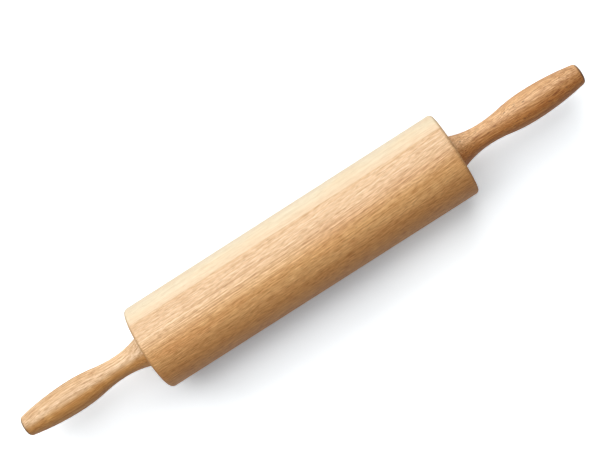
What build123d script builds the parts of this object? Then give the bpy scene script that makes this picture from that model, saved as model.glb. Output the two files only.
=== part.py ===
from build123d import *
import os
from math import cos, radians, sin, tan

os.makedirs("parts", exist_ok=True)

# A wooden rolling pin whose barrel turns on ball bearings between two fixed grips.
# X runs along the pin towards the right grip, Z points up from the table, and the origin is
# the middle of the barrel on its turning axis. All sizes are in millimetres and degrees.

# Barrel: one blank glued from two boards, turned round and bored from end to end
barrel_length = 250.0
barrel_diameter = 63.0
rim_round = 3.0
barrel_bore_diameter = 16.0
glue_line_angle = 39.6  # from straight up, towards +Y

# Ball bearings, one let into each end of the barrel
bearing_outer_diameter = 22.0
bearing_bore_diameter = 8.0
bearing_recess = 1.5
ball_count = 7
# The bearing's width, its balls, the rings behind their lands and the wall outside a shield, as
# shares of the height between the bearing's bore and its outside
bearing_width_share = 1.0
ball_share = 0.567
race_wall_share = 0.293
shield_seat_wall_share = 0.2
shield_thickness = 0.3
shield_inset = 0.3
race_gap = 0.05
cage_gap = 0.3
cage_rail = 0.35
pocket_gap = 0.12
bearing_chamfer = 0.3

# Axle rod, with a thread at each end and a groove for a retaining clip behind each bearing
thread_diameter = 6.0
thread_length = 14.0
thread_end_chamfer = 0.6
shoulder_set_back = 0.2
clip_groove_depth = 0.2
clip_groove_width = 0.9

# Retaining clips
clip_thickness = 0.8
clip_band = 1.7
clip_mouth = 2.0
clip_lug_diameter = 2.6
clip_lug_hole_diameter = 1.1

# Spacer washers between the bearings and the grips
washer_wall = 1.9
washer_chamfer = 0.3
grip_gap = 0.6

# Threaded inserts in the grips
insert_length = 15.0
insert_wall = 1.5
insert_barb_depth = 0.4
insert_barb_count = 5
insert_land = 2.5
insert_slot_width = 1.2
insert_slot_depth = 1.5
insert_mouth_chamfer = 0.4
insert_hole_spare = 2.0
drill_point_angle = 118.0

# Grips: flared at the base, drawn in to a neck, swelling to the palm and tapering to the end
grip_length = 100.8
grip_base_diameter = 25.0
neck_diameter = 16.2
neck_place = 23.0
palm_diameter = 22.8
palm_place = 60.0
neck_sweep_share = 0.43
nose_diameter = 15.0
nose_crown = 1.3
nose_round = 3.0
grip_base_round = 0.4

# Clearances between mating pieces, and how far a cut runs past what it cuts
press_gap = 0.02
thread_gap = 0.05
washer_gap = 0.1
overrun = 1.0

# Places along X on the right-hand side, worked out from the sizes above
bearing_height = (bearing_outer_diameter - bearing_bore_diameter) / 2
bearing_width = bearing_height * bearing_width_share
barrel_half = barrel_length / 2
bearing_outer_face = barrel_half - bearing_recess
bearing_inner_face = bearing_outer_face - bearing_width
bearing_middle = (bearing_outer_face + bearing_inner_face) / 2
grip_base = barrel_half + grip_gap
rod_shoulder = grip_base - shoulder_set_back
rod_end = rod_shoulder + thread_length

# Radii shared by several pieces
barrel_radius = barrel_diameter / 2
bearing_radius = bearing_outer_diameter / 2
seat_radius = bearing_radius + press_gap
rod_radius = bearing_bore_diameter / 2 - press_gap
thread_radius = thread_diameter / 2
groove_radius = rod_radius - clip_groove_depth
ball_radius = bearing_height * ball_share / 2
ball_circle_radius = (bearing_outer_diameter + bearing_bore_diameter) / 4
inner_land_radius = bearing_bore_diameter / 2 + bearing_height * race_wall_share
outer_land_radius = bearing_radius - bearing_height * race_wall_share
shield_radius = bearing_radius - bearing_height * shield_seat_wall_share
barb_radius = thread_radius + insert_wall
insert_root_radius = barb_radius - insert_barb_depth


def turned(points):
    """The solid that a closed outline of (place along X, radius) points makes when it is turned about X."""
    return revolve(make_face(Polyline(*points, close=True)), Axis.X)


def ring(start, end, inner, outer, chamfer=0):
    """A turned ring from start to end along X, with all four edges chamfered alike."""
    if not chamfer:
        return turned([(start, inner), (end, inner), (end, outer), (start, outer)])
    outline = [
        (start + chamfer, inner),
        (end - chamfer, inner),
        (end, inner + chamfer),
        (end, outer - chamfer),
        (end - chamfer, outer),
        (start + chamfer, outer),
        (start, outer - chamfer),
        (start, inner + chamfer),
    ]
    return turned(outline)


def round_edges_at(solid, place, radius, round_radius):
    """The solid with its whole circular edge at this place and radius rounded."""
    circles = solid.edges().filter_by(lambda edge: edge.is_closed)
    return fillet(circles.sort_by_distance((place, radius, 0))[0], round_radius)


def barrel():
    """The whole barrel: round outside, with a through bore and a bearing seat in each end."""
    bore = barrel_bore_diameter / 2
    half = [
        (bearing_inner_face, bore),
        (bearing_inner_face, seat_radius),
        (barrel_half, seat_radius),
        (barrel_half, barrel_radius),
    ]
    mirrored = [(-place, radius) for place, radius in reversed(half)]
    blank = turned(half + mirrored)
    for place in (-barrel_half, barrel_half):
        blank = round_edges_at(blank, place, barrel_radius, rim_round)
    return blank


def barrel_staves():
    """The barrel's two boards, which meet on a glue line through the turning axis."""
    slant = radians(glue_line_angle)
    glue_plane = Plane(origin=(0, 0, 0), x_dir=(1, 0, 0), z_dir=(0, cos(slant), -sin(slant)))
    whole = barrel()
    return {
        "barrel_stave_tan": split(whole, bisect_by=glue_plane, keep=Keep.BOTTOM),
        "barrel_stave_pale": split(whole, bisect_by=glue_plane, keep=Keep.TOP),
    }


def axle_rod():
    """The steel rod that both grips are screwed to."""
    half = [
        (bearing_inner_face - clip_groove_width, rod_radius),
        (bearing_inner_face - clip_groove_width, groove_radius),
        (bearing_inner_face, groove_radius),
        (bearing_inner_face, rod_radius),
        (rod_shoulder, rod_radius),
        (rod_shoulder, thread_radius),
        (rod_end - thread_end_chamfer, thread_radius),
        (rod_end, thread_radius - thread_end_chamfer),
        (rod_end, 0),
    ]
    mirrored = [(-place, radius) for place, radius in reversed(half)]
    return turned(mirrored + half)


def bearing_outer_ring():
    """The ring pressed into the barrel, with a ball groove and a step for a shield on each side."""
    half = bearing_width / 2
    step = half - shield_inset - shield_thickness
    side = [
        (step, outer_land_radius),
        (step, shield_radius),
        (half, shield_radius),
        (half, bearing_radius - bearing_chamfer),
        (half - bearing_chamfer, bearing_radius),
    ]
    mirrored = [(-place, radius) for place, radius in reversed(side)]
    return Pos(bearing_middle, 0, 0) * turned(side + mirrored) - ball_groove()


def bearing_inner_ring():
    """The ring on the rod, with a ball groove round its outside."""
    blank = ring(
        bearing_inner_face,
        bearing_outer_face,
        bearing_bore_diameter / 2,
        inner_land_radius,
        bearing_chamfer,
    )
    return blank - ball_groove()


def ball_groove():
    """The ring of space that the balls run in."""
    return Pos(bearing_middle, 0, 0) * Rot(0, 90, 0) * Torus(ball_circle_radius, ball_radius + race_gap)


def on_ball_circle(shape):
    """Copies of a shape at each ball's place, with the shape's Z axis pointing away from the rod."""
    out = Pos(0, 0, ball_circle_radius)
    turns = [360 * index / ball_count for index in range(ball_count)]
    return [Pos(bearing_middle, 0, 0) * Rot(turn, 0, 0) * out * shape for turn in turns]


def bearing_balls():
    """The loose balls of one bearing, each its own solid."""
    return Compound(children=on_ball_circle(Sphere(ball_radius)))


def bearing_cage():
    """The ring that keeps the balls apart, with a pocket drilled through it for each ball."""
    pocket_radius = ball_radius + pocket_gap
    blank = ring(
        bearing_middle - pocket_radius - cage_rail,
        bearing_middle + pocket_radius + cage_rail,
        inner_land_radius + cage_gap,
        outer_land_radius - cage_gap,
    )
    pocket_depth = outer_land_radius - inner_land_radius + overrun
    return blank - on_ball_circle(Cylinder(pocket_radius, pocket_depth))


def bearing_shield(way):
    """A thin disc that closes one side of the bearing: way is -1 for the side inside the barrel, else 1."""
    far = bearing_width / 2 - shield_inset
    near = far - shield_thickness
    start, end = sorted((bearing_middle + way * near, bearing_middle + way * far))
    return ring(start, end, inner_land_radius + cage_gap, shield_radius - press_gap)


def retaining_clip():
    """The open clip in the rod's groove, with a lug and a plier hole on each side of its mouth."""
    inner = groove_radius + press_gap
    outer = groove_radius + clip_band
    lug_radius = clip_lug_diameter / 2
    lug_across = clip_mouth / 2 + lug_radius
    lug_up = (outer**2 - lug_across**2) ** 0.5
    lug_places = [(-lug_across, lug_up), (lug_across, lug_up)]
    outline = Circle(outer)
    for across, up in lug_places:
        outline += Pos(across, up) * Circle(lug_radius)
    mouth_height = outer + lug_radius
    outline -= Circle(inner)
    outline -= Pos(0, mouth_height / 2) * Rectangle(clip_mouth, mouth_height)
    for across, up in lug_places:
        outline -= Pos(across, up) * Circle(clip_lug_hole_diameter / 2)
    start = bearing_inner_face - clip_thickness
    return extrude(Plane.YZ.offset(start) * outline, clip_thickness)


def spacer_washer():
    """The washer that keeps the grip's base just clear of the barrel's end."""
    bore = bearing_bore_diameter / 2 + washer_gap
    return ring(bearing_outer_face, grip_base, bore, bore + washer_wall, washer_chamfer)


def grip_insert():
    """The threaded sleeve driven into the grip: barbed outside, with a slot across its face."""
    bore = thread_radius + thread_gap
    start = grip_base
    end = start + insert_length
    barb_pitch = (insert_length - insert_land) / insert_barb_count
    outline = [(start + insert_mouth_chamfer, bore), (start, bore + insert_mouth_chamfer)]
    outline += [(start, barb_radius)]
    for index in range(insert_barb_count):
        barb_start = start + insert_land + index * barb_pitch
        outline += [(barb_start, barb_radius), (barb_start + barb_pitch, insert_root_radius)]
    outline += [(end, bore)]
    slot = Box(2 * insert_slot_depth, 2 * barb_radius + overrun, insert_slot_width)
    return turned(outline) - Pos(start, 0, 0) * slot


def grip():
    """One grip, from its flared base to its crowned end, with a blind hole for the insert."""
    base_point = (grip_base, grip_base_diameter / 2)
    neck_point = (grip_base + neck_place, neck_diameter / 2)
    palm_point = (grip_base + palm_place, palm_diameter / 2)
    nose_point = (grip_base + grip_length - nose_crown, nose_diameter / 2)
    end_point = (grip_base + grip_length, 0)
    sweep_point = tuple(
        neck + neck_sweep_share * (palm - neck) for neck, palm in zip(neck_point, palm_point)
    )
    hole_radius = barb_radius + press_gap
    hole_end = grip_base + insert_length + insert_hole_spare
    drill_tip = hole_end + hole_radius / tan(radians(drill_point_angle / 2))
    outline = [
        Polyline((drill_tip, 0), (hole_end, hole_radius), (grip_base, hole_radius), base_point),
        TangentArc(neck_point, base_point, tangent=(-1, 0)),
        TangentArc(neck_point, sweep_point, tangent=(1, 0)),
        TangentArc(palm_point, sweep_point, tangent=(-1, 0)),
        TangentArc(palm_point, nose_point, tangent=(1, 0)),
        TangentArc(end_point, nose_point, tangent=(0, 1)),
        Line(end_point, (drill_tip, 0)),
    ]
    blank = revolve(make_face(outline), Axis.X)
    blank = round_edges_at(blank, *nose_point, nose_round)
    return round_edges_at(blank, *base_point, grip_base_round)


def one_side():
    """Every piece that each end of the pin has, made at the right-hand end."""
    return {
        "grip": grip(),
        "grip_insert": grip_insert(),
        "spacer_washer": spacer_washer(),
        "retaining_clip": retaining_clip(),
        "bearing_outer_ring": bearing_outer_ring(),
        "bearing_inner_ring": bearing_inner_ring(),
        "bearing_balls": bearing_balls(),
        "bearing_cage": bearing_cage(),
        "bearing_outer_shield": bearing_shield(1),
        "bearing_inner_shield": bearing_shield(-1),
    }


pieces = {**barrel_staves(), "axle_rod": axle_rod()}
for name, shape in one_side().items():
    pieces[name + "_right"] = shape
    pieces[name + "_left"] = mirror(shape, about=Plane.YZ)

for name, shape in pieces.items():
    export_step(shape, f"parts/{name}.step")
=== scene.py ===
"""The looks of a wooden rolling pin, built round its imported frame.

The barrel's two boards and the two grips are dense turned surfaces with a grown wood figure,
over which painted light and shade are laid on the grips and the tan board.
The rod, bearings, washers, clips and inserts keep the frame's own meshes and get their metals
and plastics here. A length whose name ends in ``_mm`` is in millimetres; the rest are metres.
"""
import logging
import math
from dataclasses import dataclass
from enum import Enum

import bpy
import numpy as np
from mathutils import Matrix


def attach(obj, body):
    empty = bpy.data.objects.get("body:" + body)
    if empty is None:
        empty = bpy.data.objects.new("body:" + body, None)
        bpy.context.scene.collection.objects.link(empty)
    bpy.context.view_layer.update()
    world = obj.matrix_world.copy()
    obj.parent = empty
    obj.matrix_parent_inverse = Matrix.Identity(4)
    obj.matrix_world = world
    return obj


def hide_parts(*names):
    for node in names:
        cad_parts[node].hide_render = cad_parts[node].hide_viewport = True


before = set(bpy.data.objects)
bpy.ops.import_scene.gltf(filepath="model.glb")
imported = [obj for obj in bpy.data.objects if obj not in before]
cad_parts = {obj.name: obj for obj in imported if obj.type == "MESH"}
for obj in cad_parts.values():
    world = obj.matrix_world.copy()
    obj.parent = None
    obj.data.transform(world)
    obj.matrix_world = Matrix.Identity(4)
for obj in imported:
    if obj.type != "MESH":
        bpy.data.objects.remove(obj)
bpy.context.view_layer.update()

MM = 0.001
SMOOTH_ANGLE = math.radians(32)
LOG = logging.getLogger("rolling_pin")

Colour = tuple[float, float, float]
Point = tuple[float, float]
Reach = tuple[float, float, float, float]


class Side(Enum):
    """The pin's two ends, with the way that each points along X."""

    LEFT = -1
    RIGHT = 1

    @property
    def word(self) -> str:
        """The side's name as it stands in node names."""
        return self.name.lower()


class Body(Enum):
    """The frame's bodies that a new piece can ride on."""

    BARREL = "barrel"
    AXLE = "axle"


# Shader values


@dataclass(frozen=True)
class Wire:
    """A number or vector in a shader graph, on which Python's operators work.

    Attributes:
        graph: The graph that it belongs to.
        socket: The node's output that carries it.
    """

    graph: "Graph"
    socket: bpy.types.NodeSocket

    def __add__(self, other: "Wire | float") -> "Wire":
        """The sum of two values."""
        return self.graph.math("ADD", self, other)

    __radd__ = __add__

    def __sub__(self, other: "Wire | float") -> "Wire":
        """The difference of two values."""
        return self.graph.math("SUBTRACT", self, other)

    def __rsub__(self, other: float) -> "Wire":
        """The difference of a plain number and this value."""
        return self.graph.math("SUBTRACT", other, self)

    def __mul__(self, other: "Wire | float") -> "Wire":
        """The product of two values."""
        return self.graph.math("MULTIPLY", self, other)

    def __truediv__(self, other: "Wire | float") -> "Wire":
        """The quotient of two values."""
        return self.graph.math("DIVIDE", self, other)

    def __pow__(self, power: float) -> "Wire":
        """This value raised to a power."""
        return self.graph.math("POWER", self, power)

    def __abs__(self) -> "Wire":
        """This value without its sign."""
        return self.graph.math("ABSOLUTE", self)

    def floor(self) -> "Wire":
        """The whole number at or below this value."""
        return self.graph.math("FLOOR", self)

    def fract(self) -> "Wire":
        """What is left of this value above its floor."""
        return self.graph.math("FRACT", self)

    def ramp(self, low: float, high: float) -> "Wire":
        """A smooth step of this value.

        Args:
            low: Where the step starts; above ``high`` for a falling step.
            high: Where the step ends.

        Returns:
            0 before ``low`` and 1 past ``high``, with an even start and end.
        """
        start, end, first, last = (low, high, 0.0, 1.0) if low < high else (high, low, 1.0, 0.0)
        node = self.graph.node(
            "ShaderNodeMapRange",
            {"interpolation_type": "SMOOTHSTEP"},
            {"Value": self, "From Min": start, "From Max": end, "To Min": first, "To Max": last},
        )
        return Wire(self.graph, node.outputs["Result"])


Value = Wire | float
Place = tuple[Value, Value, Value]


class Graph:
    """The node graph of one material or world, with the few calls that build it."""

    def __init__(self, tree: bpy.types.NodeTree) -> None:
        """Empties a node tree and takes it over.

        Args:
            tree: The tree to build in.
        """
        self.tree = tree
        tree.nodes.clear()

    def node(
        self, kind: str, settings: dict | None = None, inputs: dict | None = None
    ) -> bpy.types.Node:
        """Adds one node.

        Args:
            kind: The node's type.
            settings: Its properties, which are set first.
            inputs: What each input socket, by name or number, is given: a value or a wire.

        Returns:
            The new node.
        """
        made = self.tree.nodes.new(kind)
        for name, value in (settings or {}).items():
            setattr(made, name, value)
        for name, value in (inputs or {}).items():
            if isinstance(value, Wire):
                self.tree.links.new(value.socket, made.inputs[name])
            else:
                made.inputs[name].default_value = value
        return made

    def out(self, node: bpy.types.Node, name: str | int = 0) -> Wire:
        """One of a node's outputs as a wire."""
        return Wire(self, node.outputs[name])

    def math(self, operation: str, *values: Value) -> Wire:
        """A Math node on one or two values."""
        inputs = dict(enumerate(values))
        return self.out(self.node("ShaderNodeMath", {"operation": operation}, inputs))

    def vector(self, operation: str, inputs: dict) -> Wire:
        """A Vector Math node, whose inputs are given by name or number."""
        return self.out(self.node("ShaderNodeVectorMath", {"operation": operation}, inputs))

    def joined(self, x: Value, y: Value, z: Value) -> Wire:
        """Three numbers as one vector."""
        return self.out(self.node("ShaderNodeCombineXYZ", None, {"X": x, "Y": y, "Z": z}))

    def parts(self, vector: Wire) -> tuple[Wire, Wire, Wire]:
        """A vector's three numbers."""
        node = self.node("ShaderNodeSeparateXYZ", None, {"Vector": vector})
        return self.out(node, "X"), self.out(node, "Y"), self.out(node, "Z")

    def place_mm(self) -> tuple[Wire, Wire, Wire]:
        """The surface point's own X, Y and Z in millimetres."""
        source = self.node("ShaderNodeTexCoord")
        scaled = self.vector("SCALE", {0: self.out(source, "Object"), "Scale": 1 / MM})
        return self.parts(scaled)

    def facing_along(self) -> Wire:
        """How squarely the surface faces along the pin: 1 on end grain and 0 on the sides."""
        source = self.node("ShaderNodeTexCoord")
        return abs(self.parts(self.out(source, "Normal"))[0])

    def noise(self, place: Place, detail: float, rough: float) -> Wire:
        """Cloudy noise.

        Args:
            place: Where to read it, in its own cells.
            detail: How many finer layers it has.
            rough: How strong each finer layer is.

        Returns:
            A value from about 0.2 to 0.8, with 0.5 as its middle.
        """
        vector = self.joined(*place)
        inputs = {"Vector": vector, "Scale": 1.0, "Detail": detail, "Roughness": rough}
        node = self.node("ShaderNodeTexNoise", {"noise_dimensions": "3D"}, inputs)
        return self.out(node, "Fac")

    def cells(self, place: Place) -> tuple[Wire, Wire]:
        """Scattered points, for pores and flecks.

        Args:
            place: Where to look for them, in cells.

        Returns:
            The distance to the nearest point, and a random number that belongs to it.
        """
        settings = {"voronoi_dimensions": "3D", "feature": "F1"}
        inputs = {"Vector": self.joined(*place), "Scale": 1.0, "Randomness": 1.0}
        node = self.node("ShaderNodeTexVoronoi", settings, inputs)
        return self.out(node, "Distance"), self.parts(self.out(node, "Color"))[0]

    def chance(self, number: Wire) -> Wire:
        """A random number from 0 to 1 that belongs to a whole number."""
        node = self.node("ShaderNodeTexWhiteNoise", {"noise_dimensions": "1D"}, {"W": number})
        return self.out(node, "Value")

    def mix(self, factor: Value, first: "Wire | Colour", second: "Wire | Colour") -> Wire:
        """A colour between two colours."""
        pair = [one if isinstance(one, Wire) else (*one, 1.0) for one in (first, second)]
        settings = {"data_type": "RGBA", "clamp_factor": True}
        node = self.node("ShaderNodeMix", settings, {0: factor, 6: pair[0], 7: pair[1]})
        return self.out(node, 2)

    def bump(self, height: Wire, depth: float, strength: float) -> Wire:
        """A surface normal bent by a height.

        Args:
            height: The height, in units of ``depth``.
            depth: The real height of 1, in metres.
            strength: How much of the bend is used.

        Returns:
            The bent normal.
        """
        sockets = {"Height": height, "Distance": depth, "Strength": strength}
        return self.out(self.node("ShaderNodeBump", None, sockets))


def new_material(name: str) -> tuple[bpy.types.Material, Graph]:
    """A new material and its empty graph."""
    material = bpy.data.materials.new(name)
    material.use_nodes = True
    return material, Graph(material.node_tree)


def close_surface(graph: Graph, inputs: dict) -> None:
    """Ends a material's graph with one principled surface.

    Args:
        graph: The material's graph.
        inputs: The surface's sockets by name.
    """
    surface = graph.node("ShaderNodeBsdfPrincipled", None, inputs)
    graph.node("ShaderNodeOutputMaterial", None, {"Surface": graph.out(surface)})


# Finishes


@dataclass(frozen=True)
class Figure:
    """One layer of a wood's figure: noise drawn out along the grain.

    Attributes:
        along_mm: About how long its marks are.
        across_mm: About how wide they are.
        detail: How many finer layers the noise has.
        rough: How strong each finer layer is.
    """

    along_mm: float
    across_mm: float
    detail: float
    rough: float

    def at(self, graph: Graph, x: Wire, y: Wire, z: Wire) -> Wire:
        """The layer's noise at a place that is given in millimetres, from about 0.2 to 0.8."""
        place = (x / self.along_mm, y / self.across_mm, z / self.across_mm)
        return graph.noise(place, self.detail, self.rough)


# RIPPLE bends the grain, WAVE the rings, and the others tint or shade the wood.
RIPPLE = Figure(30, 6, 1.0, 0.4)
WAVE = Figure(110, 28, 1.0, 0.4)
FIBRE = Figure(70, 0.9, 3.0, 0.55)
HAIR = Figure(6, 0.5, 2.0, 0.6)
STREAK = Figure(17, 0.8, 2.0, 0.6)
VEIN = Figure(160, 1.2, 1.0, 0.4)
DASH = Figure(58, 0.8, 2.0, 0.5)
BAND = Figure(260, 7, 1.0, 0.5)
CLOUD = Figure(45, 12, 3.0, 0.5)
PATCH = Figure(17, 6, 2.0, 0.5)
# The room that each pore and each fleck has, along and across.
PORE_CELL_MM, FLECK_CELL_MM = (6.0, 0.55), (5.0, 1.6)
# Soft steps: where each is 0 and where it is 1, in a ring's width, in noise or in facing.
EARLY_BEGINS, EARLY_FADES = (0.0, 0.1), (0.7, 0.2)
CLOUD_STEP, PATCH_STEP = (0.42, 0.72), (0.36, 0.62)
PALE_VEIN, DARK_VEIN = (0.4, 0.28), (0.6, 0.72)
PORE_MOUTH, PORE_PICK = (0.36, 0.2), (0.25, 0.7)
FLECK_SPOT, FLECK_PICK = (0.34, 0.08), (0.7, 0.95)
END_GRAIN = (0.33, 0.65)
EVERYWHERE: Reach = (-90.0, -89.0, 90.0, 91.0)
# How many rings one swing of their width takes, and by how many it moves them.
RINGS_PER_SWING, RING_SWING = 5, 2.4
# The powers that turn a tone of red into those of green and blue.
GREEN_POWER, BLUE_POWER = 1.5, 2.1
GLUE_EDGE_MM, GLUE_SHARE = (0.34, 0.1), 0.14
GRAIN_DEPTH = 0.00005


@dataclass(frozen=True)
class OakFinish:
    """Oiled, sanded oak, grown as rings about a tree's middle that lies beside the piece.

    Attributes:
        name: The name of the material and of the record's slot.
        late: The colour of the dense late wood.
        early: The colour of the porous early wood.
        pore: The colour at the bottom of a pore.
        warm: The redder colour that broad clouds of the wood lean to.
        sap: A colour laid in a band on the lamps' side. On the grips and the tan board it is
        painted light, paler and whiter where the lamps fall, and partly the wood's own paler
        sapwood, by the glue on the tan board and in the left grip's middle stripe. On the pale
        board it is a darker band by its outer edge.
        deep: A deeper colour laid on the other side from that band. On the grips and the tan board
        it is painted shade on the side away from the lamps; on the pale board it lies by the glue.
        pith_mm: Where the tree's middle lies from the pin's axis, along Y and Z.
        lean: How far the grain drifts across for each length along.
        ring_mm: The width of a year's ring.
        wave_mm: How far the rings wave in and out.
        ring_share: How strongly the early wood shows.
        year_share: How much one year's tone differs from the next.
        band_share: How strongly broad lengthwise bands show.
        fibre_share: How strongly long fine fibres show.
        hair_share: How strongly the shortest and finest dashes show.
        vein_share: How strongly a few long thin lines show, dark and light.
        dash_share: How strongly lines some centimetres long show.
        streak_share: How strongly short wavy streaks show.
        fleck_share: How strongly scattered dark flecks show.
        pore_share: How dark the pores are.
        drift: Where along the pin the tone starts and ends its drift, and how far that goes. On the
        tan board it is painted shade, darker towards the right end where the lamps fall off; on
        the left grip it is painted light, lighter at the base and neck that the barrel shades.
        end_tone: What the end grain keeps of the sides' red, green and blue.
        seed: A shift of all the noise, so that no two pieces are alike.
        sap_and_lit_side_reach: Where that band's colour starts, is full, is full still and ends, in
            millimetres
        along the tints' way.
        deep_reach: Where the deeper colour starts and is full, the same way.
        sap_and_lit_side_ring: How far the early wood keeps its own colour under that band's colour.
        tint_way: Which way the two tints are laid across the piece, in degrees from Y towards Z;
        on the grips and the tan board it points to the lamps' side.
        bow: How much the lean grows for each millimetre along.
        dash_reach: Where the lines of ``dash_share`` start, are full, are full still and end.
        sap_and_lit_side_calm: How much plainer the grain is under that band's colour.
        glue_angle: The glue line's slant from straight up, in degrees, or None where there is none.
    """

    name: str
    late: Colour
    early: Colour
    pore: Colour
    warm: Colour
    sap: Colour
    deep: Colour
    pith_mm: Point
    lean: float
    ring_mm: float
    wave_mm: float
    ring_share: float
    year_share: float
    band_share: float
    fibre_share: float
    hair_share: float
    vein_share: float
    dash_share: float
    streak_share: float
    fleck_share: float
    pore_share: float
    drift: tuple[float, float, float]
    end_tone: Colour
    seed: float
    sap_and_lit_side_reach: Reach
    deep_reach: Point
    sap_and_lit_side_ring: float
    tint_way: float = 0.0
    bow: float = 0.0
    dash_reach: Reach = EVERYWHERE
    sap_and_lit_side_calm: float = 0.0
    glue_angle: float | None = None

    def material(self) -> bpy.types.Material:
        """Builds the wood.

        The distance from the tree's middle, waved by noise, is divided by the ring width. The part
        above the whole number runs from early wood to late wood, and the whole number picks the
        year's tone. Fibres, streaks, bands and pores are noise drawn out along the grain, which
        drifts and waves across the pin.

        Returns:
            The material.
        """
        material, graph = new_material(self.name)
        x, y, z = graph.place_mm()
        outward = self._outward(y, z)
        # The drift along the pin: painted shade on the tan board and painted light on the left
        # grip.
        start, end, change = self.drift
        steady = 1.0 + x.ramp(start, end) * change
        x = x + self.seed
        y = y - x * (x * self.bow + (self.lean - 2 * self.seed * self.bow))
        ripple = RIPPLE.at(graph, x, y, z) - 0.5
        y, z = y + ripple * self.wave_mm, z - ripple * self.wave_mm
        place = (graph, x, y, z)
        ring, year = self._rings(*place)
        early = ring.ramp(*EARLY_BEGINS) * ring.ramp(*EARLY_FADES)
        pore = self._pores(*place, early)
        fibre, hair, streak, vein = (layer.at(*place) for layer in (FIBRE, HAIR, STREAK, VEIN))
        dash, band, cloud, patch = (layer.at(*place) for layer in (DASH, BAND, CLOUD, PATCH))
        fleck = self._flecks(*place)

        wood = graph.mix(early * self.ring_share, self.late, self.early)
        wood = graph.mix(cloud.ramp(*CLOUD_STEP), wood, self.warm)
        # Painted shade: a deeper colour on the side away from the lamps, on the grips and the tan
        # board.
        wood = graph.mix(outward.ramp(*self.deep_reach), wood, self.deep)
        # A paler band on the lamps' side: painted light on the grips and the tan board, partly
        # their own paler wood.
        sap = self._between(outward, self.sap_and_lit_side_reach)
        wood = graph.mix(sap * (1.0 - early * self.sap_and_lit_side_ring), wood, self.sap)
        tone = steady + (graph.chance(year) - 0.5) * self.year_share
        streaky = 0.35 + patch.ramp(*PATCH_STEP) * 0.65
        coarse = 0.1 + self._between(outward, self.dash_reach) * 0.9
        tone = tone + (band - 0.5) * (2 * self.band_share)
        tone = tone + (fibre - 0.5) * (2 * self.fibre_share) + (hair - 0.5) * (2 * self.hair_share)
        tone = tone + (streak - 0.5) * streaky * (2 * self.streak_share)
        tone = tone + (vein.ramp(*PALE_VEIN) - vein.ramp(*DARK_VEIN)) * self.vein_share
        tone = tone + (dash - 0.5) * coarse * (2 * self.dash_share)
        wood = self._deepened(graph, wood, 1.0 + (tone - 1.0) * (1.0 - sap * self.sap_and_lit_side_calm))
        wood = graph.mix(pore * self.pore_share, wood, self.pore)
        wood = graph.mix(fleck * self.fleck_share, wood, self.pore)
        wood = self._glue_line(graph, wood)
        cut = graph.facing_along().ramp(*END_GRAIN)
        wood = graph.mix(cut, wood, graph.vector("MULTIPLY", {0: wood, 1: self.end_tone}))

        height = 0.0 - pore - early * 0.3 - (1.0 - hair) * 0.25
        close_surface(graph, {
            "Base Color": wood,
            "Roughness": 0.5 + pore * 0.16 + (0.5 - fibre) * 0.12 + cut * 0.12,
            "IOR": 1.5,
            "Specular IOR Level": 0.4,
            "Coat Weight": 0.06,
            "Coat Roughness": 0.3,
            "Normal": graph.bump(height, GRAIN_DEPTH, 0.7),
        })
        return material

    def _deepened(self, graph: Graph, wood: Wire, tone: Wire) -> Wire:
        """The wood under a tone: below 1, blue falls most and red least, as under oil."""
        kept = graph.joined(tone, tone**GREEN_POWER, tone**BLUE_POWER)
        return graph.vector("MULTIPLY", {0: wood, 1: kept})

    def _rings(self, graph: Graph, x: Wire, y: Wire, z: Wire) -> tuple[Wire, Wire]:
        """The place within a year's ring, from 0 to 1, and the year's whole number."""
        wave = WAVE.at(graph, x, y, z) - 0.5
        across = y - self.pith_mm[0]
        rise = z - self.pith_mm[1]
        distance = (across * across + rise * rise) ** 0.5 + wave * (2 * self.wave_mm)
        steady = distance / self.ring_mm
        uneven = graph.noise((steady / RINGS_PER_SWING, self.seed, 0.0), 1.0, 0.5) - 0.5
        number = steady + uneven * RING_SWING
        return number.fract(), number.floor()

    def _pores(self, graph: Graph, x: Wire, y: Wire, z: Wire, early: Wire) -> Wire:
        """How much of a pore's mouth is at this point: long fine dashes, most in early wood."""
        along, across = PORE_CELL_MM
        away, pick = graph.cells((x / along, y / across, z / across))
        return away.ramp(*PORE_MOUTH) * pick.ramp(*PORE_PICK) * (0.3 + early * 0.7)

    def _flecks(self, graph: Graph, x: Wire, y: Wire, z: Wire) -> Wire:
        """How much of a dark fleck is at this point: a few short soft spots along the grain."""
        along, across = FLECK_CELL_MM
        away, pick = graph.cells((x / along + 0.5, y / across, z / across))
        return away.ramp(*FLECK_SPOT) * pick.ramp(*FLECK_PICK)

    def _outward(self, y: Wire, z: Wire) -> Wire:
        """How many millimetres this point lies from the pin's axis along the tints' way."""
        way = math.radians(self.tint_way)
        return y * math.cos(way) + z * math.sin(way)

    def _between(self, outward: Wire, reach: Reach) -> Wire:
        """1 inside a band of the wood and 0 outside it, with soft sides."""
        start, full, still, end = reach
        return outward.ramp(start, full) * outward.ramp(end, still)

    def _glue_line(self, graph: Graph, wood: Wire) -> Wire:
        """The wood with a hair-thin darker line beside the glue, where the piece has one."""
        if self.glue_angle is None:
            return wood
        slant = math.radians(self.glue_angle)
        y, z = graph.place_mm()[1:]
        off = abs(y * math.cos(slant) - z * math.sin(slant))
        return graph.mix(off.ramp(*GLUE_EDGE_MM) * GLUE_SHARE, wood, self.pore)


class Machining(Enum):
    """Which way the fine marks of a machined surface run."""

    DRAWN = "along the pin"
    TURNED = "round the pin's axis"
    POLISHED = "nowhere"


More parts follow.
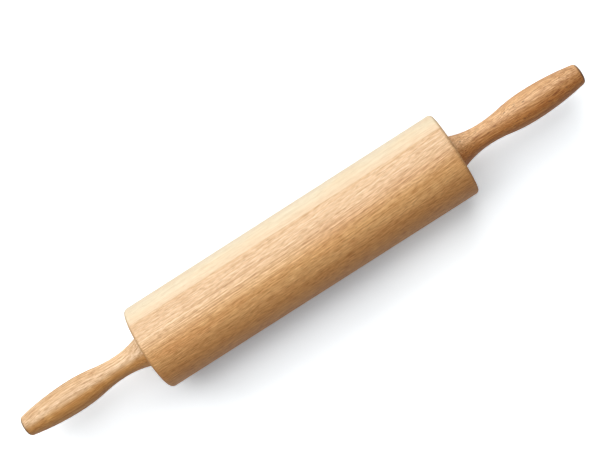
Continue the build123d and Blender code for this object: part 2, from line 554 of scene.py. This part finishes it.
@dataclass(frozen=True)
class MetalFinish:
    """A bare or plated metal with the fine marks of how it was made.

    Attributes:
        name: The material's name.
        colour: The metal's own colour.
        stain: The colour of its faint cloudy tarnish.
        stain_share: How far the tarnish goes.
        rough: How dull it is on the whole.
        marks: Which way its marks run.
        mark_mm: How far apart the marks lie.
        mark_depth_mm: How deep they are.
        seed: A shift of the noise.
    """

    name: str
    colour: Colour
    stain: Colour
    stain_share: float
    rough: float
    marks: Machining
    mark_mm: float
    mark_depth_mm: float
    seed: float

    def material(self) -> bpy.types.Material:
        """Builds the metal: noise drawn out along its marks, and clouds of tarnish that dull it."""
        material, graph = new_material(self.name)
        x, y, z = graph.place_mm()
        marks = self._marks(graph, x, y, z)
        cloud = graph.noise((x / 5 + self.seed, y / 5, z / 5), 3.0, 0.6).ramp(0.42, 0.75)
        stained = graph.mix(cloud * self.stain_share, self.colour, self.stain)
        close_surface(graph, {
            "Base Color": graph.vector("SCALE", {0: stained, "Scale": 0.9 + marks * 0.2}),
            "Metallic": 1.0,
            "Roughness": self.rough + (marks - 0.5) * 0.16 + cloud * 0.1,
            "Normal": graph.bump(marks, self.mark_depth_mm * MM, 0.6),
        })
        return material

    def _marks(self, graph: Graph, x: Wire, y: Wire, z: Wire) -> Wire:
        """The height of the marks, from about 0 to 1."""
        fine = 1 / self.mark_mm
        if self.marks is Machining.DRAWN:
            return graph.noise((x / 9, y * fine, z * fine), 3.0, 0.6)
        if self.marks is Machining.TURNED:
            out = (y * y + z * z) ** 0.5
            return graph.noise((x * fine, out * fine, self.seed), 3.0, 0.6)
        return graph.noise((x * fine, y * fine, z * fine), 4.0, 0.6)


@dataclass(frozen=True)
class NylonFinish:
    """Moulded plastic of natural colour, faintly mottled.

    Attributes:
        name: The material's name.
        colour: The plastic's colour.
        shadow: The slightly deeper colour of its mottle.
    """

    name: str
    colour: Colour
    shadow: Colour

    def material(self) -> bpy.types.Material:
        """Builds the plastic: a soft mottle in its colour and a fine orange-peel skin."""
        material, graph = new_material(self.name)
        x, y, z = graph.place_mm()
        mottle = graph.noise((x / 2.2, y / 2.2, z / 2.2), 3.0, 0.6)
        skin = graph.noise((x / 0.25, y / 0.25, z / 0.25), 2.0, 0.5)
        close_surface(graph, {
            "Base Color": graph.mix(mottle.ramp(0.35, 0.7), self.colour, self.shadow),
            "Roughness": 0.42 + (mottle - 0.5) * 0.2,
            "Subsurface Weight": 0.15,
            "Subsurface Radius": (0.002, 0.0016, 0.001),
            "Normal": graph.bump(skin, 0.00002, 0.5),
        })
        return material


Finish = OakFinish | MetalFinish | NylonFinish


# Surfaces


def arc(centre: Point, radius: float, start: float, end: float, steps: int) -> np.ndarray:
    """Points on a circle: centre + radius (cos a, sin a), with a going evenly from start to end.

    Args:
        centre: The circle's middle.
        radius: Its radius.
        start: The first point's angle, in radians.
        end: The last point's angle.
        steps: How many steps lie between them.

    Returns:
        The points, one in each row.
    """
    angles = np.linspace(start, end, steps + 1)
    return np.asarray(centre) + radius * np.column_stack((np.cos(angles), np.sin(angles)))


def straight(start: Point, end: Point, steps: int) -> np.ndarray:
    """Points on a straight run: start + t (end - start), with t going evenly from 0 to 1."""
    share = np.linspace(0.0, 1.0, steps + 1)[:, None]
    return np.asarray(start) * (1 - share) + np.asarray(end) * share


def joined_outline(*runs: np.ndarray) -> np.ndarray:
    """Several runs of points as one outline, without the points that repeat where they meet."""
    points = np.concatenate(runs)
    apart = np.linalg.norm(np.diff(points, axis=0), axis=1) > 1e-7
    return points[np.concatenate(([True], apart))]


def surface_object(name: str, points: np.ndarray, faces: list) -> bpy.types.Object:
    """A smooth-shaded object of given points and faces.

    Args:
        name: The object's name.
        points: Its corners in millimetres, one in each row.
        faces: Its faces as lists of corner numbers.

    Returns:
        The object, at the origin.
    """
    mesh = bpy.data.meshes.new(name)
    mesh.from_pydata(points * MM, [], faces)
    mesh.validate()
    mesh.shade_smooth()
    mesh.set_sharp_from_angle(angle=SMOOTH_ANGLE)
    made = bpy.data.objects.new(name, mesh)
    bpy.context.scene.collection.objects.link(made)
    return made


def grid_faces(rows: int, columns: int, closed_rows: bool, closed_columns: bool) -> np.ndarray:
    """The four-cornered faces of a grid whose corners are numbered row by row.

    Args:
        rows: How many rows of corners there are.
        columns: How many corners each row has.
        closed_rows: Whether the last row joins the first.
        closed_columns: Whether the last column joins the first.

    Returns:
        The faces, one in each row.
    """
    row, column = np.meshgrid(
        np.arange(rows if closed_rows else rows - 1),
        np.arange(columns if closed_columns else columns - 1),
        indexing="ij",
    )
    next_row, next_column = (row + 1) % rows, (column + 1) % columns
    corners = (row * columns + column, next_row * columns + column,
               next_row * columns + next_column, row * columns + next_column)
    return np.stack([corner.ravel() for corner in corners], axis=1)


def turned_points(outline: np.ndarray, angles: np.ndarray) -> np.ndarray:
    """Every outline point turned to every angle: (x, r) becomes (x, r cos a, r sin a)."""
    x = np.repeat(outline[:, 0], len(angles))
    out = outline[:, 1][:, None]
    y, z = out * np.cos(angles), out * np.sin(angles)
    return np.column_stack((x, y.ravel(), z.ravel()))


def half_turned(name: str, outline: np.ndarray, start: float, steps: int) -> bpy.types.Object:
    """A closed outline carried through half a turn about X, with its two flat ends filled.

    Args:
        name: The object's name.
        outline: The outline's (x, r) points in millimetres, in order and not repeated.
        start: The angle from Y towards Z at which the turn starts, in radians.
        steps: How many steps the turn has.

    Returns:
        The object, with its faces outwards.
    """
    columns = steps + 1
    points = turned_points(outline, np.linspace(start, start + math.pi, columns))
    sides = grid_faces(len(outline), columns, True, False)[:, ::-1]
    first = [row * columns for row in range(len(outline))]
    last = [row * columns + steps for row in reversed(range(len(outline)))]
    return surface_object(name, points, [*sides.tolist(), first, last])


def full_turned(name: str, outline: np.ndarray, steps: int, mirrored: bool) -> bpy.types.Object:
    """An open outline with both ends on the axis, turned right round X and closed at both poles.

    Args:
        name: The object's name.
        outline: The outline's (x, r) points in millimetres, from pole to pole.
        steps: How many steps the turn has.
        mirrored: Whether the outline runs the other way along X, which turns its faces round.

    Returns:
        The object, with its faces outwards.
    """
    rim = outline[1:-1]
    angles = np.linspace(0.0, 2 * math.pi, steps, endpoint=False)
    poles = [[outline[0, 0], 0, 0], [outline[-1, 0], 0, 0]]
    points = np.vstack((turned_points(rim, angles), poles))
    first_pole, last_pole = len(points) - 2, len(points) - 1
    column = np.arange(steps)
    following = (column + 1) % steps
    last_row = (len(rim) - 1) * steps
    near = np.stack((np.full(steps, first_pole), column, following), axis=1)
    far = np.stack((np.full(steps, last_pole), last_row + following, last_row + column), axis=1)
    sides = grid_faces(len(rim), steps, False, True)
    way = 1 if mirrored else -1
    faces = [*sides[:, ::way].tolist(), *near[:, ::way].tolist(), *far[:, ::way].tolist()]
    return surface_object(name, points, faces)


def along_level(level: Point, far: Point) -> tuple[Point, float]:
    """The circle that runs along X at one point and passes through another.

    Its centre stands straight above or below the first point, k away, where k is
    (dx squared + dr squared) / (2 dr) for the step (dx, dr) from the first point to the second.

    Args:
        level: Where the circle runs along X.
        far: The other point on it.

    Returns:
        The circle's centre and its radius.
    """
    along, up = far[0] - level[0], far[1] - level[1]
    offset = (along * along + up * up) / (2 * up)
    return (level[0], level[1] + offset), abs(offset)


def angle_of(centre: Point, point: Point) -> float:
    """The angle at which a point lies from a centre, in radians."""
    return math.atan2(point[1] - centre[1], point[0] - centre[0])


def toward(centre: Point, point: Point, distance: float) -> Point:
    """The point at a given distance from a centre, on the line through another point."""
    angle = angle_of(centre, point)
    return centre[0] + distance * math.cos(angle), centre[1] + distance * math.sin(angle)


def crossing(first: Point, first_radius: float, second: Point, second_radius: float) -> Point:
    """The upper of the two points where circles about two centres cross."""
    gap = math.dist(first, second)
    along = (first_radius**2 - second_radius**2 + gap**2) / (2 * gap)
    up = math.sqrt(first_radius**2 - along**2)
    way = ((second[0] - first[0]) / gap, (second[1] - first[1]) / gap)
    return first[0] + along * way[0] - up * way[1], first[1] + along * way[1] + up * way[0]


# Sub-assemblies


def dress(node: str, material: bpy.types.Material) -> None:
    """Gives one of the frame's nodes a material in every slot that it has."""
    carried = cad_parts[node]
    if not carried.material_slots:
        carried.data.materials.append(material)
    for place in carried.material_slots:
        place.material = material


def stand_in(piece: bpy.types.Object, body: Body, node: str, finish: Finish) -> None:
    """Finishes a new piece and puts it in the place of a node.

    Args:
        piece: The new piece.
        body: The body that it rides on.
        node: The node that it replaces.
        finish: Its finish, which the hidden node is given too and whose name is the slot's.
    """
    material = finish.material()
    piece.data.materials.append(material)
    dress(node, material)
    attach(piece, body.value)
    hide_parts(node)
    LOG.info("%s: %d faces for %s", piece.name, len(piece.data.polygons), node)


@dataclass(frozen=True)
class Board:
    """One of the barrel's two boards.

    Attributes:
        name: The name of its piece.
        node: The node that it replaces.
        start_angle: Where its half turn starts, in degrees from Y towards Z.
        finish: Its wood.
    """

    name: str
    node: str
    start_angle: float
    finish: OakFinish


@dataclass
class Barrel:
    """The barrel, glued from two boards, turned round and bored from end to end.

    The rod runs in its bore, and a wider seat at each end holds a bearing. ``run_steps`` says how
    many steps each run of its section has, as ``outline`` names them.
    """

    boards: list[Board]
    length_mm: float = 250.0
    diameter_mm: float = 63.0
    rim_round_mm: float = 3.0
    bore_diameter_mm: float = 16.0
    seat_diameter_mm: float = 22.04
    seat_depth_mm: float = 8.5
    run_steps: tuple[int, ...] = (72, 14, 10, 4, 3, 24)
    turn_steps: int = 168

    def outline(self) -> np.ndarray:
        """The boards' section: outside, rims, end faces, seats and bore, as (x, r) points."""
        half, radius = self.length_mm / 2, self.diameter_mm / 2
        rim, seat, bore = self.rim_round_mm, self.seat_diameter_mm / 2, self.bore_diameter_mm / 2
        shoulder = half - self.seat_depth_mm
        outer, rounded, faced, seated, stepped, bored = self.run_steps
        closed = joined_outline(
            straight((rim - half, radius), (half - rim, radius), outer),
            arc((half - rim, radius - rim), rim, math.pi / 2, 0.0, rounded),
            straight((half, radius - rim), (half, seat), faced),
            straight((half, seat), (shoulder, seat), seated),
            straight((shoulder, seat), (shoulder, bore), stepped),
            straight((shoulder, bore), (-shoulder, bore), bored),
            straight((-shoulder, bore), (-shoulder, seat), stepped),
            straight((-shoulder, seat), (-half, seat), seated),
            straight((-half, seat), (-half, radius - rim), faced),
            arc((rim - half, radius - rim), rim, math.pi, math.pi / 2, rounded),
        )
        return closed[:-1]

    def build(self) -> list[bpy.types.Object]:
        """Builds and dresses both boards.

        Returns:
            Their objects.
        """
        pieces = []
        for board in self.boards:
            start = math.radians(board.start_angle)
            piece = half_turned(board.name, self.outline(), start, self.turn_steps)
            stand_in(piece, Body.BARREL, board.node, board.finish)
            pieces.append(piece)
        return pieces


@dataclass
class Grip:
    """A turned grip: flared at its base, waisted at the neck, full at the palm, crowned at its end.

    The base lies ``base_mm`` from the pin's middle, and the neck and the palm are measured from
    it. ``sweep_share`` says how far from neck to palm the hollow turns into the swell, and
    ``run_steps`` how many steps each run of the section has, as ``outline`` names them.
    """

    side: Side
    finish: OakFinish
    base_mm: float = 125.6
    length_mm: float = 100.8
    base_radius_mm: float = 12.5
    base_round_mm: float = 0.4
    neck_mm: float = 23.0
    neck_radius_mm: float = 8.1
    sweep_share: float = 0.43
    palm_mm: float = 60.0
    palm_radius_mm: float = 11.4
    nose_radius_mm: float = 7.5
    nose_crown_mm: float = 1.3
    nose_round_mm: float = 3.0
    hole_radius_mm: float = 4.52
    hole_depth_mm: float = 17.0
    drill_angle: float = 118.0
    run_steps: tuple[int, ...] = (3, 8, 6, 5, 26, 16, 20, 38, 10, 12)
    turn_steps: int = 144

    def outline(self) -> np.ndarray:
        """The grip's section from the bottom of its hole to its crowned end, as (x, r) points.

        The outside is four arcs that run level at the neck and the palm, with the base edge and
        the nose edge rounded, and an arc about a point on the axis closes the end.
        """
        neck, palm = (self.neck_mm, self.neck_radius_mm), (self.palm_mm, self.palm_radius_mm)
        sweep = tuple(a + self.sweep_share * (b - a) for a, b in zip(neck, palm))
        flare_centre, flare = along_level(neck, (0.0, self.base_radius_mm))
        rise_centre, rise = along_level(neck, sweep)
        swell_centre, swell = along_level(palm, sweep)
        nose = (self.length_mm - self.nose_crown_mm, self.nose_radius_mm)
        taper_centre, taper = along_level(palm, nose)
        crown = (self.nose_radius_mm**2 + self.nose_crown_mm**2) / (2 * self.nose_crown_mm)
        crown_centre = (self.length_mm - crown, 0.0)

        lip, edge = self.base_round_mm, self.nose_round_mm
        drop = math.sqrt((flare + lip) ** 2 - (flare_centre[0] - lip) ** 2)
        lip_centre = (lip, flare_centre[1] - drop)
        lip_end = toward(lip_centre, flare_centre, lip)
        edge_centre = crossing(crown_centre, crown - edge, taper_centre, taper - edge)
        edge_start = toward(taper_centre, edge_centre, taper)
        edge_end = toward(crown_centre, edge_centre, crown)

        hole = self.hole_radius_mm
        drill_tip = self.hole_depth_mm + hole / math.tan(math.radians(self.drill_angle / 2))
        outward, inward = math.pi / 2, -math.pi / 2
        edge_turn = angle_of(edge_centre, edge_start), angle_of(edge_centre, edge_end)
        tip, wall, foot, lipped, flared, risen, swollen, tapered, edged, crowned = self.run_steps
        return joined_outline(
            straight((drill_tip, 0.0), (self.hole_depth_mm, hole), tip),
            straight((self.hole_depth_mm, hole), (0.0, hole), wall),
            straight((0.0, hole), (0.0, lip_centre[1]), foot),
            arc(lip_centre, lip, math.pi, angle_of(lip_centre, lip_end), lipped),
            arc(flare_centre, flare, angle_of(flare_centre, lip_end), inward, flared),
            arc(rise_centre, rise, inward, angle_of(rise_centre, sweep), risen),
            arc(swell_centre, swell, angle_of(swell_centre, sweep), outward, swollen),
            arc(taper_centre, taper, outward, angle_of(taper_centre, edge_start), tapered),
            arc(edge_centre, edge, *edge_turn, edged),
            arc(crown_centre, crown, angle_of(crown_centre, edge_end), 0.0, crowned),
        )

    def build(self) -> bpy.types.Object:
        """Builds and dresses the grip.

        Returns:
            Its object.
        """
        outline = self.outline()
        outline[:, 0] = self.side.value * (self.base_mm + outline[:, 0])
        name = f"turned_grip_{self.side.word}"
        piece = full_turned(name, outline, self.turn_steps, self.side is Side.LEFT)
        stand_in(piece, Body.AXLE, f"grip_{self.side.word}", self.finish)
        return piece


@dataclass
class Works:
    """The steel, brass and nylon inside the pin, which keep the frame's meshes.

    Attributes:
        rod: The finish of the one rod.
        pairs: The finish of each kind of piece that both sides have, by the start of its name.
    """

    rod: MetalFinish
    pairs: dict[str, Finish]

    def build(self) -> int:
        """Dresses the rod and both sides' pieces.

        Returns:
            How many nodes were dressed.
        """
        dress("axle_rod", self.rod.material())
        for part, finish in self.pairs.items():
            material = finish.material()
            for side in Side:
                dress(f"{part}_{side.word}", material)
            LOG.info("%s: %s on both sides", part, finish.name)
        return 1 + 2 * len(self.pairs)


@dataclass(frozen=True)
class SoftLamp:
    """A wide lamp on the side of the pale board, aimed at the pin's middle.

    Attributes:
        name: The lamp's name.
        tilt: How far it stands from straight above, in degrees.
        power: Its power in watts.
        distance: How far from the pin it hangs.
        shift: How far along the pin it is moved.
        length: Its size along the pin.
        width: Its size across the pin.
    """

    name: str
    tilt: float
    power: float
    distance: float = 1.3
    shift: float = -0.12
    length: float = 2.1
    width: float = 0.7

    def hang(self) -> None:
        """Puts the lamp into the scene."""
        lamp = bpy.data.lights.new(self.name, "AREA")
        lamp.shape, lamp.size, lamp.size_y = "RECTANGLE", self.length, self.width
        lamp.energy = self.power
        hung = bpy.data.objects.new(self.name, lamp)
        tilt = math.radians(self.tilt)
        hung.location = (self.shift, self.distance * math.sin(tilt), self.distance * math.cos(tilt))
        hung.rotation_euler = hung.location.to_track_quat("Z", "Y").to_euler()
        bpy.context.scene.collection.objects.link(hung)


@dataclass
class Studio:
    """A white table under wide soft lamps, and the camera above it.

    Attributes:
        lamps: The lamps over the table.
        table_height: The height of the table's top.
        table_reach: How far the table goes each way.
        table_white: Its colour as the camera sees it.
        table_bounce: Its colour for the light that it throws back.
        mirror_share: How far a mirrored table goes from that colour to the camera's.
        table_glow: What it glows, only for the camera, which keeps its shadows soft.
        right_painted_light: Painted light beside the barrel's right half, glowing only for the
            camera, which pales the shadow there.
        painted_light_starts_mm: Where along the pin that painted light starts and is full.
        painted_light_stops_mm: Where it has stopped again, and where it begins to.
        white_from_mm: Where the table begins to turn white, outwards, and where it is.
        sky: How bright the sky is.
        sky_fade: How high up the sky looks dim, and how low it looks white.
        camera_place: Where the camera stands.
        camera_aim_x: Where along the pin it is aimed.
        camera_turn: How far it is turned about its own line of sight, in degrees.
        camera_lens: Its focal length in millimetres.
        camera_film: The width of its film in millimetres.
    """

    lamps: tuple[SoftLamp, ...] = (
        SoftLamp("upper_lamp", tilt=22.0, power=11.1),
        SoftLamp("lower_lamp", tilt=52.0, power=14.2),
    )
    table_height: float = -0.0315
    table_reach: float = 6.0
    table_white: Colour = (1.37, 1.385, 1.395)
    table_bounce: Colour = (0.42, 0.42, 0.42)
    mirror_share: float = 0.5
    table_glow: Colour = (0.04, 0.066, 0.086)
    right_painted_light: Colour = (0.097, 0.12, 0.134)
    painted_light_starts_mm: Point = (10, 85)
    painted_light_stops_mm: Point = (150, 102)
    white_from_mm: Point = (320, 1300)
    sky: float = 0.282
    sky_fade: Point = (0.55, 0.3)
    camera_place: tuple[float, float, float] = (0.046, 0.01547, 1.072)
    camera_aim_x: float = 0.0092
    camera_turn: float = -32.6
    camera_lens: float = 93.95
    camera_film: float = 36.0

    def build(self) -> None:
        """Lays the table, hangs the lamps, sets the sky and puts up the camera."""
        self._table()
        for lamp in self.lamps:
            lamp.hang()
        self._sky()
        self._camera()
        view = bpy.context.scene.view_settings
        view.view_transform = "Standard"
        LOG.info("studio: table, lamps, sky and camera")

    def _table(self) -> None:
        """A wide level sheet that keeps the pin's shadow, with painted light that pales it beside
        the barrel's right half, and is white where it is seen far off.
        """
        reach, height = self.table_reach, self.table_height
        corners = [(x * reach, y * reach, height) for x, y in ((-1, -1), (1, -1), (1, 1), (-1, 1))]
        mesh = bpy.data.meshes.new("table")
        mesh.from_pydata(corners, [], [(0, 1, 2, 3)])
        table = bpy.data.objects.new("table", mesh)
        bpy.context.scene.collection.objects.link(table)
        material, graph = new_material("white_table")
        x, y, _ = graph.place_mm()
        far = ((x * x + y * y) ** 0.5).ramp(*self.white_from_mm)
        seen = self._seen(graph)
        mirrored = graph.out(graph.node("ShaderNodeLightPath"), "Is Glossy Ray") * self.mirror_share
        bright = graph.math("MAXIMUM", seen, mirrored)
        colour = graph.mix(bright, self.table_bounce, self.table_white)
        white = graph.node("ShaderNodeBsdfDiffuse", None, {"Color": colour})
        # Painted light: a camera-only glow beside the barrel's right half that pales the shadow
        # there.
        beside = x.ramp(*self.painted_light_starts_mm) * x.ramp(*self.painted_light_stops_mm)
        near = graph.mix(beside, self.table_glow, self.right_painted_light)
        level = graph.mix(far, near, (1.0, 1.0, 1.0))
        glow = graph.node("ShaderNodeEmission", None, {"Color": level, "Strength": seen})
        both = graph.node("ShaderNodeAddShader", None, {0: graph.out(white), 1: graph.out(glow)})
        graph.node("ShaderNodeOutputMaterial", None, {"Surface": graph.out(both)})
        mesh.materials.append(material)

    def _seen(self, graph: Graph) -> Wire:
        """1 for rays that come straight from the camera, else 0."""
        return graph.out(graph.node("ShaderNodeLightPath"), "Is Camera Ray")

    def _sky(self) -> None:
        """A dim even sky that looks white near the horizon."""
        world = bpy.data.worlds.new("studio_sky")
        world.use_nodes = True
        bpy.context.scene.world = world
        graph = Graph(world.node_tree)
        up = graph.parts(graph.out(graph.node("ShaderNodeTexCoord"), "Generated"))[2]
        white = self._seen(graph) * up.ramp(*self.sky_fade)
        level = self.sky + white * (1 - self.sky)
        sockets = {"Color": (1.0, 1.0, 1.0, 1.0), "Strength": level}
        light = graph.node("ShaderNodeBackground", None, sockets)
        graph.node("ShaderNodeOutputWorld", None, {"Surface": graph.out(light)})

    def _camera(self) -> None:
        """The camera above the right half of the barrel, aimed near its middle and turned."""
        seen = bpy.data.cameras.new("camera")
        seen.lens, seen.sensor_width = self.camera_lens, self.camera_film
        held = bpy.data.objects.new("camera", seen)
        held.location = self.camera_place
        lean = math.atan2(self.camera_place[0] - self.camera_aim_x, self.camera_place[2])
        held.rotation_mode = "ZYX"
        held.rotation_euler = (0.0, lean, math.radians(self.camera_turn))
        bpy.context.scene.collection.objects.link(held)
        bpy.context.scene.camera = held


GLUE_ANGLE = 39.6

# Painted light and shade on the tan board: a paler, whiter band on the lamps' side, partly its own
# wood by the glue, a deeper far side, and a darker right end.
TAN_OAK = OakFinish(
    name="oak_tan",
    late=(0.685, 0.37, 0.14), early=(0.56, 0.27, 0.086), pore=(0.26, 0.11, 0.035),
    warm=(0.66, 0.325, 0.116), sap=(0.685, 0.48, 0.295), deep=(0.635, 0.287, 0.084),
    pith_mm=(-130.0, -26.0), lean=0.035, bow=1.6e-4,
    ring_mm=1.9, wave_mm=0.5, ring_share=0.45, year_share=0.06, band_share=0.12,
    fibre_share=0.18, hair_share=0.64, vein_share=0.05, dash_share=0.5, streak_share=0.13,
    fleck_share=0.35, pore_share=0.5, drift=(60.0, 118.0, -0.045), end_tone=(0.8, 0.765, 0.71),
    seed=11.0, sap_and_lit_side_reach=(18.5, 34.5, 90.0, 91.0), deep_reach=(17.0, 3.0), sap_and_lit_side_ring=0.2,
    tint_way=90 - GLUE_ANGLE, dash_reach=(19.0, 22.5, 27.5, 30.5), sap_and_lit_side_calm=0.24,
    glue_angle=GLUE_ANGLE,
)
PALE_OAK = OakFinish(
    name="oak_pale",
    late=(0.755, 0.64, 0.455), early=(0.72, 0.58, 0.385), pore=(0.45, 0.3, 0.15),
    warm=(0.765, 0.61, 0.405), sap=(0.71, 0.59, 0.44), deep=(0.745, 0.55, 0.36),
    pith_mm=(60.0, -160.0), lean=0.004, ring_mm=2.6, wave_mm=1.0,
    ring_share=0.25, year_share=0.03, band_share=0.035,
    fibre_share=0.05, hair_share=0.17, vein_share=0.01, dash_share=0.03, streak_share=0.12,
    fleck_share=0.1, pore_share=0.25, drift=(0.0, 1.0, 0.0), end_tone=(0.8, 0.715, 0.61),
    seed=47.0, sap_and_lit_side_reach=(16.0, 21.0, 90.0, 91.0), deep_reach=(11.0, -2.0), sap_and_lit_side_ring=0.3,
    tint_way=-GLUE_ANGLE, glue_angle=GLUE_ANGLE,
)
# Painted light and shade on the left grip: paler on the lamps' side, partly its own pale middle
# stripe, deeper on the far side, and lighter at the base.
LEFT_OAK = OakFinish(
    name="oak_grip_left",
    late=(0.61, 0.37, 0.175), early=(0.45, 0.225, 0.08), pore=(0.24, 0.10, 0.03),
    warm=(0.58, 0.32, 0.13), sap=(0.735, 0.5, 0.295), deep=(0.58, 0.27, 0.075),
    pith_mm=(28.0, -50.0), lean=0.006, ring_mm=2.2, wave_mm=0.5,
    ring_share=0.75, year_share=0.14, band_share=0.14,
    fibre_share=0.28, hair_share=0.38, vein_share=0.18, dash_share=0.16, streak_share=0.13,
    fleck_share=0.25, pore_share=0.5, drift=(-168.0, -140.0, 0.09), end_tone=(0.42, 0.38, 0.33),
    seed=83.0, sap_and_lit_side_reach=(-2.0, 1.6, 3.2, 14.0), deep_reach=(0.5, -4.5), sap_and_lit_side_ring=0.45,
)
# Painted light and shade on the right grip: paler on the lamps' side and deeper on the far side.
RIGHT_OAK = OakFinish(
    name="oak_grip_right",
    late=(0.55, 0.275, 0.10), early=(0.40, 0.175, 0.05), pore=(0.16, 0.06, 0.018),
    warm=(0.51, 0.235, 0.08), sap=(0.68, 0.405, 0.2), deep=(0.49, 0.19, 0.045),
    pith_mm=(-70.0, -40.0), lean=-0.01, ring_mm=2.2, wave_mm=0.9,
    ring_share=0.45, year_share=0.14, band_share=0.15,
    fibre_share=0.24, hair_share=0.68, vein_share=0.14, dash_share=0.2, streak_share=0.4,
    fleck_share=0.8, pore_share=0.8, drift=(190.0, 212.0, -0.06), end_tone=(0.42, 0.38, 0.33),
    seed=131.0, sap_and_lit_side_reach=(-0.5, 5.0, 6.0, 12.0), deep_reach=(0.5, -5.0), sap_and_lit_side_ring=0.3,
)

ROD_STEEL = MetalFinish(
    "rod_steel", (0.56, 0.565, 0.57), (0.36, 0.33, 0.29), 0.25, rough=0.3,
    marks=Machining.DRAWN, mark_mm=0.3, mark_depth_mm=0.004, seed=3.0,
)
WASHER_STEEL = MetalFinish(
    "washer_steel", (0.63, 0.64, 0.66), (0.5, 0.5, 0.46), 0.4, rough=0.38,
    marks=Machining.POLISHED, mark_mm=0.5, mark_depth_mm=0.003, seed=5.0,
)
CLIP_STEEL = MetalFinish(
    "clip_steel", (0.09, 0.09, 0.095), (0.16, 0.12, 0.09), 0.3, rough=0.46,
    marks=Machining.POLISHED, mark_mm=0.4, mark_depth_mm=0.004, seed=7.0,
)
RING_STEEL = MetalFinish(
    "bearing_steel", (0.6, 0.61, 0.62), (0.45, 0.42, 0.38), 0.15, rough=0.2,
    marks=Machining.TURNED, mark_mm=0.12, mark_depth_mm=0.001, seed=9.0,
)
BALL_STEEL = MetalFinish(
    "ball_steel", (0.7, 0.71, 0.72), (0.6, 0.6, 0.58), 0.2, rough=0.14,
    marks=Machining.POLISHED, mark_mm=1.2, mark_depth_mm=0.0004, seed=13.0,
)
SHIELD_STEEL = MetalFinish(
    "shield_steel", (0.58, 0.59, 0.6), (0.44, 0.42, 0.38), 0.2, rough=0.34,
    marks=Machining.TURNED, mark_mm=0.2, mark_depth_mm=0.002, seed=17.0,
)
INSERT_BRASS = MetalFinish(
    "insert_brass", (0.72, 0.5, 0.19), (0.45, 0.27, 0.1), 0.35, rough=0.3,
    marks=Machining.TURNED, mark_mm=0.16, mark_depth_mm=0.002, seed=19.0,
)
CAGE_NYLON = NylonFinish("cage_plastic", colour=(0.78, 0.72, 0.58), shadow=(0.7, 0.62, 0.46))


def main() -> None:
    """Builds the pin's looks and the studio round it, in order."""
    logging.basicConfig(level=logging.INFO, format="%(name)s %(message)s")
    Studio().build()
    tan = Board("barrel_board_tan", "barrel_stave_tan", 90 - GLUE_ANGLE, TAN_OAK)
    pale = Board("barrel_board_pale", "barrel_stave_pale", -90 - GLUE_ANGLE, PALE_OAK)
    barrel = Barrel([tan, pale]).build()
    grips = [Grip(Side.LEFT, LEFT_OAK).build(), Grip(Side.RIGHT, RIGHT_OAK).build()]
    dressed = Works(ROD_STEEL, {
        "grip_insert": INSERT_BRASS,
        "spacer_washer": WASHER_STEEL,
        "retaining_clip": CLIP_STEEL,
        "bearing_outer_ring": RING_STEEL,
        "bearing_inner_ring": RING_STEEL,
        "bearing_balls": BALL_STEEL,
        "bearing_cage": CAGE_NYLON,
        "bearing_outer_shield": SHIELD_STEEL,
        "bearing_inner_shield": SHIELD_STEEL,
    }).build()
    LOG.info("pin: %d new pieces and %d dressed nodes", len(barrel) + len(grips), dressed)


if __name__ == "__main__":
    main()
